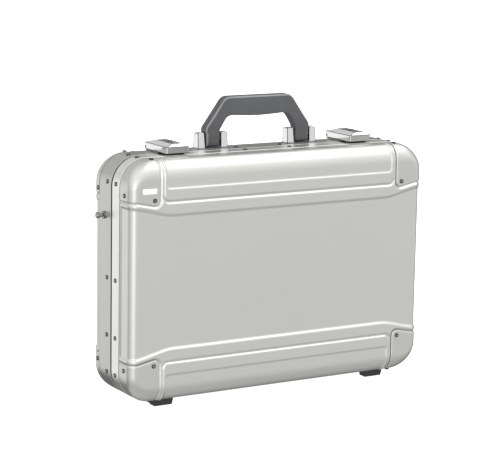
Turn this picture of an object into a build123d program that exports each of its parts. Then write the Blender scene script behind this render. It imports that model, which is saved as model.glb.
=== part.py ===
from build123d import *
import math
import os

# Aluminium attache case, standing upright on its feet with the handle on top.
# +X is across the case, -Y is the lid's face, +Z is up. The origin is on the floor, under
# the middle of the case. Depths are measured from the seam, so the lid half is built on
# the -Y side and the base half is its mirror image or a variant of it. Millimetres.

# ---- Driving dimensions ----
case_width = 450.0
case_height = 318.0
corner_radius = 38.0
foot_height = 9.0
panel_depth = 52.0
sheet = 1.3
edge_radius = 11.0

# Frames: a flat band round each half, with a flange that closes on the gasket.
seam_half = 2.0
narrow_frame = 21.5
wide_frame = 34.0
band = 1.5
flange_reach = 6.0
flange_thickness = 2.0
frame_edge = 0.5
shell_gap = 0.1
shell_start = 4.1

# Pressed ribs, as heights above and below the middle of the case.
rib_rise = 2.5
shoulder_rise = 1.2
side_rise = 1.3
rib_taper = 30.0
rib_half_width = 174.0
upper_rib_low = 107.5
upper_rib_high = 121.5

# The lower rib's two sides, as (x, height), from the middle of the case to its edge.
lower_rib_inside = [(166.0, 88.0), (182.0, 91.0), (203.0, 95.0), (230.0, 98.5)]
lower_rib_outside = [(168.0, 102.0), (186.0, 98.8), (213.0, 104.0), (230.0, 104.0)]

# Corner caps, riveted over the shells' corners.
cap_growth = 1.4
cap_clearance = 0.1
cap_inner_x = 181.5
cap_low_z = 100.3
cap_outer_z = 105.5
cap_slope_x = (190.0, 215.0)
cap_corner_radius = 7.0

# Rivets
rivet_head_radius = 3.0
rivet_head_height = 1.3
rivet_radius = 1.3
rivet_hole_radius = 1.35
rivet_tail_radius = 2.0
rivet_tail_height = 0.6
side_rivet_heights = (125.6, 0.0, -76.0, -125.6)
top_rivet_x = (34.4, 194.7)
narrow_rivet_depth = 11.9
wide_rivet_depth = 12.1
cap_face_rivet = (190.0, 107.9)
cap_side_rivet_height = 114.0
cap_end_rivet_x = 187.0
cap_rivet_depth = {"lid": 36.0, "base": 38.8}

# Lining
liner_inset = 6.3
liner_thickness = 1.5
liner_floor = 48.3
liner_rim = 4.5

# Bottom hinges
hinge_x = 95.0
hinge_length = 60.0
hinge_knuckles = 5
knuckle_radius = 3.0
knuckle_gap = 0.3
axis_drop = 3.2
leaf_thickness = 1.45
leaf_reach = 17.0
hinge_pin_radius = 1.25
running_gap = 0.05
lid_opening = 95.0

# Lid stays: an arm on a lid stud, whose guide pin runs in a curved track on the base.
stay_pivot_y = -12.0
stay_pivot_rise = 50.0
stay_length = 90.0
stay_lean = 22.2
stay_ratio = 0.282
stay_pin_radius = 2.0
stay_slot_gap = 0.2
stay_arm_width = 9.0
stay_arm_x = 209.5
stay_arm_thickness = 1.7
stay_shoulder_radius = 3.2
stay_head_radius = 3.4
stay_stud_room = 3.5
track_x = 211.7
track_thickness = 1.5
track_width = 13.0
track_ends = (-13.0, 101.0)
boss_radius = 2.5

# Handle
handle_y = 20.0
handle_depth = 17.0
leg_centre_x = 69.0
leg_width = 20.4
pivot_rise = 13.0
leg_drop = 10.9
leg_end_radius = 11.2
grip_top_rise = 68.0
grip_shoulder_rise = 27.0
grip_corner = (50.5, 3.0)
grip_hand_x = 47.5
grip_hand_rise = 45.0
grip_belly = 2.5
grip_chamfer = 2.6
handle_pin_radius = 2.0
post_width = 10.8
post_depth = 15.0
post_height = 21.5
post_taper = (1.6, 4.5)
post_gap = 23.9
bracket_plate = 1.5
guide_lug = (5.0, 3.8, 1.6)

# Fixing screws, which come up from inside the base
screw_radius = 1.7
screw_room_radius = 1.75
screw_head = (3.2, 1.5)
post_screw_reach = 6.5
latch_screw = (6.5, 10.0)

# Latches
latch_x = 141.0
latch_width = 33.0
latch_front = -22.5
latch_back = 39.0
latch_base_height = 1.8
flap_gap = 0.5
flap_side_height = 8.6
flap_peak = 4.2
flap_wall = 1.5
flap_corner_radius = 1.4
deck_half = 7.5
deck_front = -19.9
deck_back = 24.0
flap_pivot_y = 35.6
flap_pivot_rise = 2.9
lug_radius = 1.7
lug_x = 11.6
lug_half = 1.3
flap_knuckle_radius = 2.6
knuckle_half = 9.8
catch_half = 7.0
catch_span = (-15.5, -13.5)
latch_pin_radius = 1.0

# Release button, T-shaped: (half width, front, back) of its head and of its stem.
button_head = (4.5, 0.5, 5.0)
button_stem = (1.8, -8.0, 1.0)
button_proud = 1.3
button_gap = 0.25
button_foot_drop = 4.2
button_foot_lip = 1.0

# Strike plate on the lid's frame
keeper_half = 13.0
keeper_span = (-17.0, -3.0)
keeper_height = 0.9
strike_half = 11.0
strike_span = (-12.5, -10.0)
strike_height = 1.7

# Small parts
foot_x = 165.2
foot_sole = (25.6, 13.0)
foot_root = (28.6, 15.5)
foot_y = {"lid": -27.0, "base": 19.0}
stud_height = 81.0
stud_y = 20.0
stud_collar = (5.0, 2.2)
stud_neck = (2.4, 8.5)
stud_cap = (4.2, 12.0)
stud_shank_radius = 1.9
stud_tail = (3.2, 0.85)
stud_hole_radius = 1.95
badge_size = (20.0, 7.0, 0.5)
badge_x = -197.5
badge_height = 120.2

# ---- Derived places ----
frame_bottom = foot_height
frame_top = foot_height + case_height
middle_z = foot_height + case_height / 2
axis_z = frame_bottom - axis_drop
frame_inset = band + shell_gap
pivot_z = frame_top + pivot_rise
flap_bottom = frame_top + latch_base_height + flap_gap
flap_edge = flap_bottom + flap_side_height
flap_pivot_z = flap_bottom + flap_pivot_rise

nodes = {}


def save(name, *solids):
    """Keep a node: one solid, or a group of separate solids."""
    parts = [solid for shape in solids for solid in shape.solids()]
    nodes[name] = parts[0] if len(parts) == 1 else Compound(children=parts)


def depth_plane(depth):
    """A plane parallel to the lid's face, depth in front of the seam, normal towards -Y."""
    return Plane(origin=(0, -depth, middle_z), x_dir=(1, 0, 0), z_dir=(0, -1, 0))


def slab(sketch, start, end):
    """A front-view outline made solid between two depths in front of the seam."""
    return extrude(depth_plane(start) * sketch, amount=end - start)


def base_side(shape):
    """The same shape on the base half."""
    return mirror(shape, about=Plane.XZ)


def outline(inset):
    """The case's front-view outline, inset on every side."""
    return RectangleRounded(
        case_width - 2 * inset, case_height - 2 * inset, corner_radius - inset
    )


def block(low, high):
    """A box between two corners."""
    size = [b - a for a, b in zip(low, high)]
    centre = [(a + b) / 2 for a, b in zip(low, high)]
    return Pos(*centre) * Box(*size)


def rod(start, end, radius):
    """A cylinder between two points."""
    axis = Vector(*end) - Vector(*start)
    seat = Plane(origin=start, z_dir=axis.normalized())
    return extrude(seat * Circle(radius), amount=axis.length)


# ---- Shells ----
def rounded_tray(growth, start, corner_growth=0.0):
    """The shell's basic form, grown outwards, with its outer edge rounded."""
    body = slab(outline(frame_inset - growth), start, panel_depth + growth)
    face = body.faces().sort_by(Axis.Y)[0]
    return fillet(face.edges(), edge_radius + growth + corner_growth)


def both_sides(points):
    """A closed outline from its right half's points, with the left half mirrored."""
    return points + [(-x, z) for x, z in reversed(points)]


def inset_points(points, distance):
    """The closed outline with every side moved inwards by a distance, corners mitred."""
    area = sum(a[0] * b[1] - b[0] * a[1] for a, b in zip(points, points[1:] + points))
    inwards = distance if area > 0 else -distance
    moved = []
    for index, (x, z) in enumerate(points):
        before = Vector(*points[index - 1])
        after = Vector(*points[(index + 1) % len(points)])
        come = (Vector(x, z) - before).normalized()
        go = (after - Vector(x, z)).normalized()
        normal = Vector(-come.Y - go.Y, come.X + go.X).normalized()
        reach = inwards / (normal.X * -come.Y + normal.Y * come.X)
        moved.append((x + normal.X * reach, z + normal.Y * reach))
    return moved


def shoulder_outline(sign):
    """The raised ground of the upper rib, which runs over the edge to the frame."""
    low = sign * upper_rib_low
    high = sign * case_height
    return both_sides([(rib_half_width, low), (rib_half_width, high)])


def upper_rib_outline(sign):
    low = sign * upper_rib_low
    high = sign * upper_rib_high
    return both_sides([(rib_half_width, low), (rib_half_width, high)])


def lower_rib_outline(sign):
    """The rib beside the main panel, which bends round the caps and onto the sides."""
    points = lower_rib_inside + lower_rib_outside[::-1]
    return both_sides([(x, sign * z) for x, z in points])


def outline_face(points, depth):
    return depth_plane(depth) * make_face(Polyline(*points, close=True))


def pressed(points, rise, wall, start, limit):
    """One raised band, moved inwards by the wall so that the sheet keeps its thickness."""
    deck = panel_depth - wall
    root_points = inset_points(points, wall)
    crown_points = inset_points(
        points, wall + rise * math.tan(math.radians(rib_taper))
    )
    root = extrude(outline_face(root_points, start), amount=deck - start)
    crown = loft(
        [outline_face(root_points, deck), outline_face(crown_points, deck + rise)],
        ruled=True,
    )
    return (root + crown) & limit


def shell_form(wall, start, rib_start):
    """The shell's outer form, or its inner form one wall further in."""
    form = rounded_tray(-wall, start)
    limit = slab(
        outline(frame_inset - side_rise + wall), start, panel_depth + rib_rise
    )
    limit = fillet(limit.faces().sort_by(Axis.Y)[0].edges(), edge_radius)
    for sign in (1, -1):
        form += pressed(shoulder_outline(sign), shoulder_rise, wall, rib_start, limit)
        form += pressed(upper_rib_outline(sign), rib_rise, wall, rib_start, limit)
        form += pressed(lower_rib_outline(sign), rib_rise, wall, rib_start, limit)
    return form


def make_shell(frame_end):
    """A pressed shell whose ribs start just outside its frame's edge."""
    outer = shell_form(0.0, shell_start, frame_end + 0.3)
    return outer - shell_form(sheet, 0.0, frame_end + 0.3 + sheet)


# ---- Corner caps ----
def cap_outline(sign_x, sign_z):
    far_x = case_width / 2 + 10
    far_z = case_height / 2 + 10
    points = [
        (cap_inner_x, far_z),
        (cap_inner_x, cap_low_z),
        (cap_slope_x[0], cap_low_z),
        (cap_slope_x[1], cap_outer_z),
        (far_x, cap_outer_z),
        (far_x, far_z),
    ]
    face = make_face(Polyline(*points, close=True))
    corner = face.vertices().sort_by_distance((cap_inner_x, cap_low_z, 0))[0]
    face = fillet(corner, cap_corner_radius)
    if sign_x < 0:
        face = mirror(face, about=Plane.YZ)
    if sign_z < 0:
        face = mirror(face, about=Plane.XZ)
    return face


def make_caps(start):
    """Four thin corner caps that fit over a shell, from the frame's edge outwards."""
    skin = rounded_tray(cap_growth, start) - rounded_tray(cap_clearance, start - 1)
    caps = {}
    for sign_x, side in ((-1, "left"), (1, "right")):
        for sign_z, level in ((1, "top"), (-1, "bottom")):
            region = slab(cap_outline(sign_x, sign_z), start - 2, panel_depth + 5)
            caps[f"{level}_{side}"] = skin & region
    return caps


# ---- Rivets ----
def rivet_solid(grip):
    """A domed rivet along local Z, whose head rests on z = 0 and whose tail grips below."""
    head = Pos(0, 0, rivet_head_height / 2) * Cylinder(
        rivet_head_radius, rivet_head_height
    )
    head = fillet(head.edges().group_by(Axis.Z)[-1], rivet_head_height * 0.8)
    shank = Pos(0, 0, -grip / 2) * Cylinder(rivet_radius, grip)
    tail = Pos(0, 0, -grip - rivet_tail_height / 2) * Cylinder(
        rivet_tail_radius, rivet_tail_height
    )
    return head + shank + tail


def side_seat(sign, height, depth, radius_x):
    """Point and outward direction on the side of the outline at a height from the middle."""
    past = max(0.0, abs(height) - (case_height / 2 - corner_radius))
    angle = math.asin(past / corner_radius)
    x = radius_x - corner_radius * (1 - math.cos(angle))
    point = (sign * x, -depth, middle_z + height)
    return point, (sign * math.cos(angle), 0, math.copysign(math.sin(angle), height))


def edge_seat(x, sign, depth, radius_z):
    """Point and outward direction on the top or bottom of the outline at a given x."""
    past = max(0.0, abs(x) - (case_width / 2 - corner_radius))
    angle = math.asin(past / corner_radius)
    z = radius_z - corner_radius * (1 - math.cos(angle))
    point = (x, -depth, middle_z + sign * z)
    return point, (math.copysign(math.sin(angle), x), 0, sign * math.cos(angle))


def frame_seats(depth):
    seats = []
    for sign in (-1, 1):
        for height in side_rivet_heights:
            seats.append(side_seat(sign, height, depth, case_width / 2))
        for x in top_rivet_x:
            seats.append(edge_seat(-x, sign, depth, case_height / 2))
            seats.append(edge_seat(x, sign, depth, case_height / 2))
    return seats


def cap_seats(depth):
    """One rivet on each cap's face, side and end."""
    reach = frame_inset - cap_growth
    seats = []
    face_x, face_z = cap_face_rivet
    for sx in (-1, 1):
        for sz in (-1, 1):
            face_point = (sx * face_x, -(panel_depth + cap_growth), middle_z + sz * face_z)
            side_height = sz * cap_side_rivet_height
            end_x = sx * cap_end_rivet_x
            seats.append((face_point, (0, -1, 0)))
            seats.append(side_seat(sx, side_height, depth, case_width / 2 - reach))
            seats.append(edge_seat(end_x, sz, depth, case_height / 2 - reach))
    return seats


def rivets(seats, grip):
    return [Plane(origin=p, z_dir=n) * rivet_solid(grip) for p, n in seats]


def drilled(shape, seats):
    """The shape with rivet holes at the seats."""
    drill = Cylinder(rivet_hole_radius, 12)
    return shape - [Plane(origin=p, z_dir=n) * drill for p, n in seats]


# ---- Frames, gasket and lining ----
def ring(outer_inset, inner_inset, start, end):
    return slab(outline(outer_inset), start, end) - slab(
        outline(inner_inset), start - 1, end + 1
    )


def make_frame(end):
    solid = slab(outline(0), seam_half, end)
    solid = fillet(solid.faces().sort_by(Axis.Y)[0].edges(), frame_edge)
    solid = fillet(solid.faces().sort_by(Axis.Y)[-1].edges(), frame_edge)
    flange_back = seam_half + flange_thickness
    solid -= slab(outline(band), flange_back, end + 1)
    solid -= slab(outline(flange_reach), 0, end)
    return solid


def make_liner():
    tray = slab(outline(liner_inset), liner_rim, liner_floor)
    tray = fillet(tray.faces().sort_by(Axis.Y)[0].edges(), 6.0)
    room = slab(
        outline(liner_inset + liner_thickness), 0, liner_floor - liner_thickness
    )
    return tray - fillet(room.faces().sort_by(Axis.Y)[0].edges(), 5.0)


# ---- Hinges ----
def hinge_set(centre_x):
    """The base leaf, the lid leaf and the pin of one bottom hinge."""
    step = hinge_length / hinge_knuckles
    start_x = centre_x - hinge_length / 2
    low = frame_bottom - 0.05 - leaf_thickness
    base_leaf = block(
        (start_x, 1.4, low), (start_x + hinge_length, leaf_reach, frame_bottom - 0.05)
    )
    lid_leaf = base_side(base_leaf)
    for index in range(hinge_knuckles):
        x0 = start_x + index * step + knuckle_gap / 2
        x1 = x0 + step - knuckle_gap
        knuckle = rod((x0, 0, axis_z), (x1, 0, axis_z), knuckle_radius)
        room = rod(
            (x0 - knuckle_gap, 0, axis_z),
            (x1 + knuckle_gap, 0, axis_z),
            knuckle_radius + 0.5,
        )
        if index % 2 == 0:
            lid_leaf -= room
            base_leaf += knuckle
        else:
            base_leaf -= room
            lid_leaf += knuckle
    ends = (start_x, 0, axis_z), (start_x + hinge_length, 0, axis_z)
    bore = rod(*ends, hinge_pin_radius + running_gap)
    return base_leaf - bore, lid_leaf - bore, rod(*ends, hinge_pin_radius)


# ---- Lid stays ----
def side_plane(x):
    """A plane parallel to the case's side, with local coordinates (y, z)."""
    return Plane(origin=(x, 0, 0), x_dir=(0, 1, 0), z_dir=(1, 0, 0))


def stay_pivot(angle):
    """Where the lid's stud is when the lid has opened by angle degrees."""
    turn = math.radians(angle)
    y = stay_pivot_y * math.cos(turn) - stay_pivot_rise * math.sin(turn)
    z = stay_pivot_y * math.sin(turn) + stay_pivot_rise * math.cos(turn)
    return y, axis_z + z


def stay_end(angle):
    """Where the arm's guide pin is then: the arm leans back in proportion to the lid."""
    y, z = stay_pivot(angle)
    lean = math.radians(stay_lean + stay_ratio * angle)
    return y + stay_length * math.sin(lean), z + stay_length * math.cos(lean)


def swept_strip(first, last, half_width):
    """The strip that a round pin of this radius covers as the lid turns."""
    steps = 12
    angles = [first + (last - first) * i / steps for i in range(steps + 1)]
    left, right, behind, ahead = [], [], [], []
    for angle in angles:
        here = Vector(*stay_end(angle))
        along = (Vector(*stay_end(angle + 0.1)) - here).normalized() * half_width
        across = Vector(-along.Y, along.X)
        left.append(here + across)
        right.append(here - across)
        behind.append(here - along)
        ahead.append(here + along)
    start = ThreePointArc(right[0], behind[0], left[0])
    end = ThreePointArc(left[-1], ahead[-1], right[-1])
    return make_face([start, Spline(*left), end, Spline(*reversed(right))])


def wall_at(height):
    """How far out the shell's inner side is at a height, allowing for the round corner."""
    inset = frame_inset + sheet + 0.05
    corner_z = frame_bottom + corner_radius
    past = max(0.0, corner_z - height)
    radius = corner_radius - inset
    return case_width / 2 - corner_radius + math.sqrt(radius**2 - past**2)


def make_track(sign):
    """The slotted plate on the base's side, with a boss at each end that stands it off."""
    seat = side_plane(track_x)
    outer = swept_strip(*track_ends, track_width / 2)
    slot = swept_strip(-0.3, lid_opening + 0.3, stay_pin_radius + stay_slot_gap)
    plate = extrude(seat * (outer - slot), amount=track_thickness)
    for angle in track_ends:
        y, z = stay_end(angle)
        wall_x = wall_at(z - boss_radius)
        plate += rod((track_x + track_thickness / 3, y, z), (wall_x, y, z), boss_radius)
    return plate if sign > 0 else mirror(plate, about=Plane.YZ)


def make_stay_arm(sign):
    """The arm and its guide pin, closed: a flat bar with a bore for the lid's stud."""
    low = stay_pivot(0)
    high = stay_end(0)
    bar = Pos(
        (low[0] + high[0]) / 2, (low[1] + high[1]) / 2
    ) * SlotCenterToCenter(stay_length, stay_arm_width, rotation=90 - stay_lean)
    bar -= Pos(*low) * Circle(stay_pin_radius + running_gap)
    arm = extrude(side_plane(stay_arm_x) * bar, amount=stay_arm_thickness)
    pin_start = (stay_arm_x + 0.5, *high)
    pin_end = (track_x + track_thickness + 0.4, *high)
    arm += rod(pin_start, pin_end, stay_pin_radius)
    return arm if sign > 0 else mirror(arm, about=Plane.YZ)


def make_stay_stud(sign):
    """The lid's stud: a headed pin that carries the arm and stands on the shell's side."""
    y, z = stay_pivot(0)
    wall_x = case_width / 2 - frame_inset - sheet - 0.05
    stud = rod((stay_arm_x - 1.2, y, z), (wall_x, y, z), stay_pin_radius)
    shoulder_x = stay_arm_x + stay_arm_thickness + 0.3
    stud += rod((shoulder_x, y, z), (wall_x, y, z), stay_shoulder_radius)
    stud += rod((stay_arm_x - 1.2, y, z), (stay_arm_x - 0.2, y, z), stay_head_radius)
    return stud if sign > 0 else mirror(stud, about=Plane.YZ)


# ---- Handle ----
def make_grip():
    """The moulded bail: two legs, sloping shoulders and a bar with a soft belly."""
    leg_out = leg_centre_x + leg_width / 2
    leg_in = leg_centre_x - leg_width / 2
    foot = pivot_z - leg_drop
    shoulder = frame_top + grip_shoulder_rise
    top = frame_top + grip_top_rise
    hand = frame_top + grip_hand_rise
    corner_x, corner_drop = grip_corner
    outer = [
        (leg_out, foot),
        (leg_out, shoulder),
        (corner_x + corner_drop, top - 2.5),
        (corner_x - corner_drop, top),
    ]
    inner = [(leg_in, foot), (leg_in, shoulder - 2.0), (grip_hand_x, hand)]
    left_outer = [(-x, z) for x, z in reversed(outer)]
    left_inner = [(-x, z) for x, z in inner]
    belly = ThreePointArc(left_inner[-1], (0, hand - grip_belly), (grip_hand_x, hand))
    sides = Polyline(*reversed(inner), *outer, *left_outer, *left_inner)
    profile = make_face([sides, belly])
    seat = Plane(
        origin=(0, handle_y + handle_depth / 2, 0), x_dir=(1, 0, 0), z_dir=(0, -1, 0)
    )
    grip = extrude(seat * profile, amount=handle_depth)
    rims = grip.faces().sort_by(Axis.Y)
    grip = chamfer(rims[0].edges() + rims[-1].edges(), grip_chamfer)
    ends = (-100, handle_y, pivot_z), (100, handle_y, pivot_z)
    square_ends = block(
        (-100, handle_y - handle_depth, foot - 1),
        (100, handle_y + handle_depth, pivot_z),
    )
    grip -= square_ends - rod(*ends, leg_end_radius)
    return grip - rod(*ends, handle_pin_radius + running_gap)


def tapered_post(centre_x):
    """A post with sloping sides and a slightly narrower top."""
    foot = Plane.XY.offset(frame_top + 0.05)
    seat = foot * Pos(centre_x, handle_y) * Rectangle(post_width, post_depth)
    crown = Plane.XY.offset(frame_top + post_height)
    crown_face = crown * Pos(centre_x, handle_y) * Rectangle(
        post_width - post_taper[0], post_depth - post_taper[1]
    )
    post = loft([seat, crown_face])
    return fillet(post.edges().group_by(Axis.Z)[-1], 1.4)


def handle_pin_ends(sign, spare):
    """The two ends of a handle pin, which stops short of the posts' outer faces."""
    half = post_gap / 2 + post_width - 1.6 + spare
    centre = sign * leg_centre_x
    return (centre - half, handle_y, pivot_z), (centre + half, handle_y, pivot_z)


def make_handle_bracket(sign):
    """A plate on the wide frame with a post on each side of the handle's leg."""
    reach = post_gap / 2 + post_width
    centre = sign * leg_centre_x
    plate = block(
        (centre - reach, handle_y - post_depth / 2, frame_top + 0.05),
        (centre + reach, handle_y + post_depth / 2, frame_top + bracket_plate),
    )
    bracket = fillet(plate.edges().filter_by(Axis.Z), 1.5)
    for side in (-1, 1):
        bracket += tapered_post(centre + side * (post_gap + post_width) / 2)
    lug_offset, lug_y, guide_radius = guide_lug
    for side in (-1, 1):
        x = centre + side * lug_offset
        low = (x, handle_y - lug_y, frame_top + bracket_plate - 0.3)
        high = (x, handle_y - lug_y, frame_top + bracket_plate + 0.25)
        bracket += rod(low, high, guide_radius)
    ends = handle_pin_ends(sign, 0.1)
    bracket -= rod(*ends, handle_pin_radius + running_gap)
    for side in (-1, 1):
        x = centre + side * (post_gap + post_width) / 2
        hole = (x, handle_y, frame_top), (x, handle_y, frame_top + 8)
        bracket -= rod(*hole, screw_room_radius)
    return bracket


def make_handle_pin(sign):
    return rod(*handle_pin_ends(sign, 0.0), handle_pin_radius)


# ---- Fixing screws under the handle and latches ----
def screw_places():
    places = []
    for sign in (-1, 1):
        for side in (-1, 1):
            post_x = sign * leg_centre_x + side * (post_gap + post_width) / 2
            places.append((post_x, handle_y))
            places.append((sign * latch_x + side * latch_screw[0], latch_screw[1]))
    return places


def make_screw(x, y):
    """A pan-head screw that comes up through the shell and the frame."""
    head_top = frame_top - frame_inset - sheet - 0.05
    head_radius, head_height = screw_head
    head = rod((x, y, head_top - head_height), (x, y, head_top), head_radius)
    reach = post_screw_reach if y == handle_y else latch_base_height - 0.4
    return head + rod((x, y, head_top - 0.5), (x, y, frame_top + reach), screw_radius)


def screw_drilled(shape):
    holes = [
        rod((x, y, frame_top - 5), (x, y, frame_top + 1), screw_room_radius)
        for x, y in screw_places()
    ]
    return shape - holes


# ---- Latches ----
def latch_axis(centre, half):
    """The two ends of a rod on the flap's pivot line."""
    return (centre - half, flap_pivot_y, flap_pivot_z), (
        centre + half,
        flap_pivot_y,
        flap_pivot_z,
    )


def make_latch_base(centre):
    """The fixed plate, with two lugs that carry the flap's pin."""
    half = latch_width / 2 - 0.8
    top = frame_top + latch_base_height
    plate = block(
        (centre - half, seam_half + 0.6, frame_top + 0.05),
        (centre + half, latch_back - 0.4, top),
    )
    base = fillet(plate.edges().filter_by(Axis.Z), 1.0)
    for side in (-1, 1):
        low_x = centre + side * lug_x - lug_half
        high_x = centre + side * lug_x + lug_half
        lug = block(
            (low_x, flap_pivot_y - lug_radius, top - 0.5),
            (high_x, flap_pivot_y + lug_radius, flap_pivot_z),
        )
        tip = (low_x, flap_pivot_y, flap_pivot_z), (high_x, flap_pivot_y, flap_pivot_z)
        base += lug + rod(*tip, lug_radius)
    base -= rod(*latch_axis(centre, latch_width / 2), latch_pin_radius + running_gap)
    for x, y in screw_places():
        hole = (x, y, frame_top), (x, y, frame_top + latch_base_height - 0.3)
        base -= rod(*hole, screw_room_radius)
    return base


def pyramid_cover(centre, inset, lift):
    """The cover's convex form: upright sides and steep or gentle facets up to a deck."""
    half = latch_width / 2 - inset
    front = latch_front + inset
    back = latch_back - inset
    foot = flap_bottom - lift
    edge = flap_edge - inset
    deck = flap_edge + flap_peak - inset
    rim = [(-half, front), (half, front), (half, back), (-half, back)]
    inner_half = deck_half - 0.2 * inset
    deck_rim = [
        (-inner_half, deck_front + inset),
        (inner_half, deck_front + inset),
        (inner_half, deck_back),
        (-inner_half, deck_back),
    ]
    corners = [(centre + x, y, foot) for x, y in rim]
    corners += [(centre + x, y, edge) for x, y in rim]
    corners += [(centre + x, y, deck) for x, y in deck_rim]
    return ConvexPolyhedron(corners)


def button_parts(centre, grow, low, high):
    """The button's T, as a head and a stem, grown sideways, between two heights."""
    solids = []
    for half, front, back in (button_head, button_stem):
        corner = (centre - half - grow, front - grow, low)
        solids.append(block(corner, (centre + half + grow, back + grow, high)))
    return solids


def make_flap(centre):
    """The hollow cover that swings up about its back edge."""
    outer = pyramid_cover(centre, 0.0, 0.0)
    outer = fillet(outer.edges().filter_by(Axis.Z), flap_corner_radius)
    cover = outer - pyramid_cover(centre, flap_wall, 3.0)
    half = latch_width / 2
    cover -= block(
        (centre - half - 1, flap_pivot_y, flap_bottom - 2),
        (centre + half + 1, latch_back + 2, flap_pivot_z + 1.0),
    )
    for side in (-1, 1):
        room_x = centre + side * lug_x
        cover -= block(
            (room_x - lug_half - 0.3, flap_pivot_y - 2.2, flap_bottom - 2),
            (room_x + lug_half + 0.3, latch_back + 2, flap_edge - 1.3),
        )
    cover += rod(*latch_axis(centre, knuckle_half), flap_knuckle_radius)
    cover += block(
        (centre - knuckle_half, flap_pivot_y - 1.0, flap_pivot_z),
        (centre + knuckle_half, flap_pivot_y + flap_knuckle_radius, flap_edge - 1.0),
    )
    for side in (-1, 1):
        cheek_x = centre + side * (half - flap_wall / 2)
        cover += rod(*latch_axis(cheek_x, flap_wall / 2), flap_knuckle_radius)
    cover += block(
        (centre - catch_half, catch_span[0], flap_bottom - 0.1),
        (centre + catch_half, catch_span[1], flap_edge + flap_peak - 1.0),
    )
    cover -= rod(*latch_axis(centre, half + 1), latch_pin_radius + running_gap)
    deck = flap_edge + flap_peak
    return cover - button_parts(centre, button_gap, deck - 3, deck + 3)


def make_button(centre):
    """The T-shaped release button, which stands through the deck on a wider foot."""
    deck = flap_edge + flap_peak
    low = deck - button_foot_drop
    head, stem = button_parts(centre, 0.0, low, deck + button_proud)
    raised = head + stem
    raised = fillet(raised.edges().group_by(Axis.Z)[-1], 0.45)
    half, _, back = button_head
    foot = block(
        (centre - half - button_foot_lip, button_stem[1] - button_foot_lip, low),
        (centre + half + button_foot_lip, back + button_foot_lip, low + 1.0),
    )
    return raised + foot


def make_latch_pin(centre):
    return rod(*latch_axis(centre, latch_width / 2 - 0.3), latch_pin_radius)


def make_keeper(centre):
    """The strike plate on the lid's frame, under the flap's front."""
    plate = block(
        (centre - keeper_half, keeper_span[0], frame_top + 0.05),
        (centre + keeper_half, keeper_span[1], frame_top + keeper_height),
    )
    keeper = fillet(plate.edges().filter_by(Axis.Z), 1.2)
    return keeper + block(
        (centre - strike_half, strike_span[0], frame_top + keeper_height - 0.2),
        (centre + strike_half, strike_span[1], frame_top + strike_height),
    )


# ---- Feet, strap studs and badge ----
def make_foot(sign, half):
    """A rubber foot with sloping ends. The lid's also fills the step up to the shell."""
    centre = (sign * foot_x, foot_y[half])
    sole = Pos(*centre) * Rectangle(*foot_sole)
    root_plane = Plane.XY.offset(foot_height - 0.05)
    foot = loft([sole, root_plane * Pos(*centre) * Rectangle(*foot_root)])
    foot = fillet(foot.edges().group_by(Axis.Z)[0], 1.2)
    if half == "lid":
        half_x = foot_root[0] / 2
        front = foot_y[half] - foot_root[1] / 2
        pad_lift = frame_inset - side_rise - 0.1
        foot += block(
            (sign * foot_x - half_x, front, foot_height - 0.3),
            (sign * foot_x + half_x, -narrow_frame - 0.2, foot_height + pad_lift),
        )
    return foot


def make_strap_stud(sign):
    """A mushroom stud for a shoulder strap, riveted through the wide frame."""
    x = case_width / 2
    wall = x - frame_inset - sheet - 0.05
    steps = [
        (x + 0.05, x + stud_collar[1], stud_collar[0]),
        (x + stud_collar[1] - 0.2, x + stud_neck[1], stud_neck[0]),
        (x + stud_neck[1] - 0.5, x + stud_cap[1], stud_cap[0]),
        (wall, x + 0.1, stud_shank_radius),
        (wall - stud_tail[1], wall, stud_tail[0]),
    ]
    z = middle_z + stud_height
    stud = None
    for start, end, radius in steps:
        piece = rod((start, stud_y, z), (end, stud_y, z), radius)
        stud = piece if stud is None else stud + piece
    stud = fillet(stud.edges().group_by(Axis.X)[-1], 1.6)
    return stud if sign > 0 else mirror(stud, about=Plane.YZ)


def stud_drilled(shape):
    z = middle_z + stud_height
    reach = case_width / 2 + 5
    return shape - rod((-reach, stud_y, z), (reach, stud_y, z), stud_hole_radius)


# ---- Assembly ----
lid_frame_seats = frame_seats(narrow_rivet_depth)
base_frame_seats = frame_seats(wide_rivet_depth)
lid_cap_seats = cap_seats(cap_rivet_depth["lid"])
base_cap_seats = cap_seats(cap_rivet_depth["base"])
frame_grip = frame_inset + sheet + 0.05
cap_grip = cap_growth + sheet + 0.05

lid_shell = make_shell(narrow_frame)
save("lid_shell", drilled(lid_shell, lid_frame_seats + lid_cap_seats))
base_shell = make_shell(wide_frame)
base_shell = base_side(drilled(base_shell, base_frame_seats + base_cap_seats))
save("base_shell", stud_drilled(screw_drilled(base_shell)))

save("lid_frame", drilled(make_frame(narrow_frame), lid_frame_seats))
base_frame = base_side(drilled(make_frame(wide_frame), base_frame_seats))
save("base_frame", stud_drilled(screw_drilled(base_frame)))
save("seam_gasket", base_side(ring(2.2, 5.2, -1.5, seam_half - 0.02)))

for place, cap in make_caps(narrow_frame + 0.2).items():
    save(f"lid_cap_{place}", drilled(cap, lid_cap_seats))
for place, cap in make_caps(wide_frame + 0.2).items():
    save(f"base_cap_{place}", base_side(drilled(cap, base_cap_seats)))

save("lid_frame_rivets", *rivets(lid_frame_seats, frame_grip))
save("lid_cap_rivets", *rivets(lid_cap_seats, cap_grip))
save("base_frame_rivets", *map(base_side, rivets(base_frame_seats, frame_grip)))
save("base_cap_rivets", *map(base_side, rivets(base_cap_seats, cap_grip)))



def cross_bore(place, radius):
    """A rod right across the case at a (y, z) place, to cut the linings on both sides."""
    return rod((-case_width / 2, *place), (case_width / 2, *place), radius)


stud_rooms = [cross_bore(stay_pivot(0), stay_stud_room)]
boss_rooms = [cross_bore(stay_end(angle), boss_radius + 0.4) for angle in track_ends]
save("lid_liner", make_liner() - stud_rooms)
save("base_liner", base_side(make_liner()) - boss_rooms)

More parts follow.
